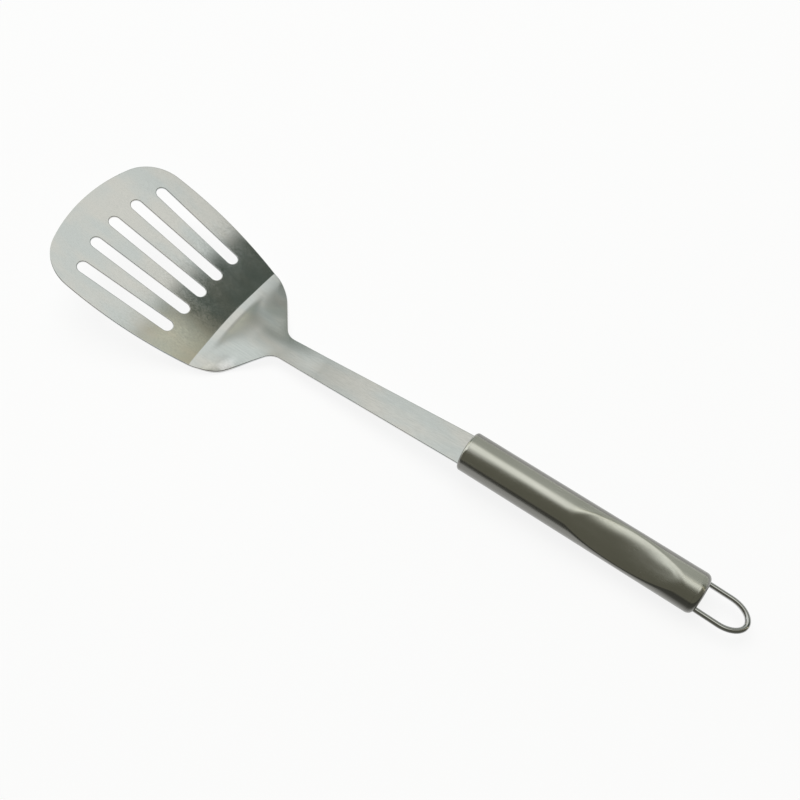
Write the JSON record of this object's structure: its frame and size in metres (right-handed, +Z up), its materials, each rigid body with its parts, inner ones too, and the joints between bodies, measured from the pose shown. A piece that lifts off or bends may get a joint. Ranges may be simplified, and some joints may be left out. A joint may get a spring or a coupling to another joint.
{
  "type": "slotted kitchen turner",
  "caption": "Slotted steel turner: a press-formed slotted blade on a flat shank, fixed in a hollow round handle with a pressed thumb panel and a wire hanging loop.",
  "frame": {"origin": "centre of the outer box, on the surface that the turner lies on", "axes": "+X from the blade's tip towards the hanging loop, +Y to the left seen from the blade towards the loop, +Z up; Y = 0 is the mirror plane of head, caps and loop"},
  "size_m": [0.3482, 0.0782, 0.0372],
  "materials": {
    "polished_sheet": "satin polish, soft mirror",
    "brushed_tube": "fine brushing along the handle",
    "bright_wire": "bright drawn wire"
  },
  "bodies": {
    "root": {"turner_head": "polished_sheet", "handle_tube": "brushed_tube", "front_cap": "brushed_tube", "rear_cap": "brushed_tube", "hanging_loop": "bright_wire"}
  },
  "joints": []
}
